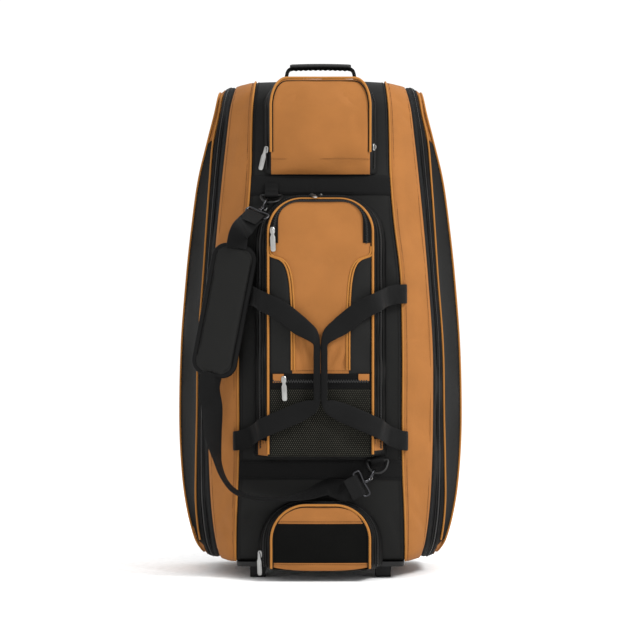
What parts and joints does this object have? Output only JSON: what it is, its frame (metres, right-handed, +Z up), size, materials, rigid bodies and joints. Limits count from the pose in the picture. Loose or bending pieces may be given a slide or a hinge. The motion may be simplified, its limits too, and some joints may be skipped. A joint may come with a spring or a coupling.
{
  "type": "rolling baseball bag",
  "caption": "Tall soft wheeled kit bag with full-height side pockets, front pockets, carry handles and a padded shoulder strap; it stands on end and rolls on rear wheels.",
  "frame": {"origin": "on the floor, below the middle of the whole bag's bounding box", "axes": "+Z up, -Y towards the front with the pockets, +X to the right as seen from the front"},
  "size_m": [0.5198, 0.3874, 0.929],
  "materials": {
    "tan_nylon": "plain woven nylon, matt",
    "black_nylon": "plain woven nylon with a slight sheen",
    "webbing": "ribbed woven webbing",
    "piping_cord": "nylon bias tape over cord",
    "pocket_mesh": "knitted mesh over dark cloth",
    "pad_fabric": "woven nylon over foam, bound edge",
    "moulded_plastic": "moulded, finely textured",
    "grip_rubber": "moulded rubber",
    "wheel_tread": "moulded polyurethane wheel",
    "pull_metal": "bright cast zinc",
    "hook_metal": "dark nickel plate"
  },
  "bodies": {
    "bag": {"front_panel": "black_nylon", "back_panel": "black_nylon", "front_band_left": "tan_nylon", "zip_band_left": "black_nylon", "side_gusset_left": "black_nylon", "rear_gusset_left": "black_nylon", "side_panel_left": "tan_nylon", "seam_piping_left": "piping_cord", "zip_piping_left": "piping_cord", "outline_piping_left": "piping_cord", "front_band_right": "tan_nylon", "zip_band_right": "black_nylon", "side_gusset_right": "black_nylon", "rear_gusset_right": "black_nylon", "side_panel_right": "tan_nylon", "seam_piping_right": "piping_cord", "zip_piping_right": "piping_cord", "outline_piping_right": "piping_cord", "top_pocket_gusset": "black_nylon", "top_pocket_face": "tan_nylon", "top_pocket_piping": "piping_cord", "front_pocket_gusset": "black_nylon", "front_pocket_face": "tan_nylon", "front_pocket_insert_left": "black_nylon", "front_pocket_insert_right": "black_nylon", "mesh_pocket_zip": "black_nylon", "mesh_pocket": "pocket_mesh", "front_pocket_piping": "piping_cord", "bottom_pocket_gusset": "black_nylon", "bottom_pocket_face": "tan_nylon", "bottom_pocket_mesh": "pocket_mesh", "bottom_pocket_hem": "tan_nylon", "bottom_pocket_piping": "piping_cord", "upper_band": "webbing", "lower_band": "webbing", "carry_handle_left": "webbing", "carry_handle_right": "webbing", "haul_strap": "webbing", "haul_grip": "grip_rubber", "shoulder_pad": "pad_fabric", "d_ring_upper": "moulded_plastic", "ring_tab_upper": "webbing", "d_ring_lower": "moulded_plastic", "ring_tab_lower": "webbing", "snap_hook_upper": "hook_metal", "shoulder_strap_upper": "webbing", "snap_hook_lower": "hook_metal", "shoulder_strap_lower": "webbing", "base_board": "moulded_plastic", "wheel_housing_left": "moulded_plastic", "front_foot_left": "grip_rubber", "wheel_housing_right": "moulded_plastic", "front_foot_right": "grip_rubber", "top_pocket_pull": "pull_metal", "front_pocket_pull": "pull_metal", "mesh_pocket_pull": "pull_metal", "lid_pull": "pull_metal", "bottom_pocket_pull": "pull_metal"},
    "wheel_left": {"wheel_left": "wheel_tread"},
    "wheel_right": {"wheel_right": "wheel_tread"}
  },
  "joints": [
    {"name": "wheel_left_spin", "type": "hinge", "parent": "bag", "child": "wheel_left", "pos_m": [-0.11196, 0.15865, 0.035], "axis": [1, 0, 0], "continuous": true},
    {"name": "wheel_right_spin", "type": "hinge", "parent": "bag", "child": "wheel_right", "pos_m": [0.11196, 0.15865, 0.035], "axis": [1, 0, 0], "continuous": true}
  ]
}
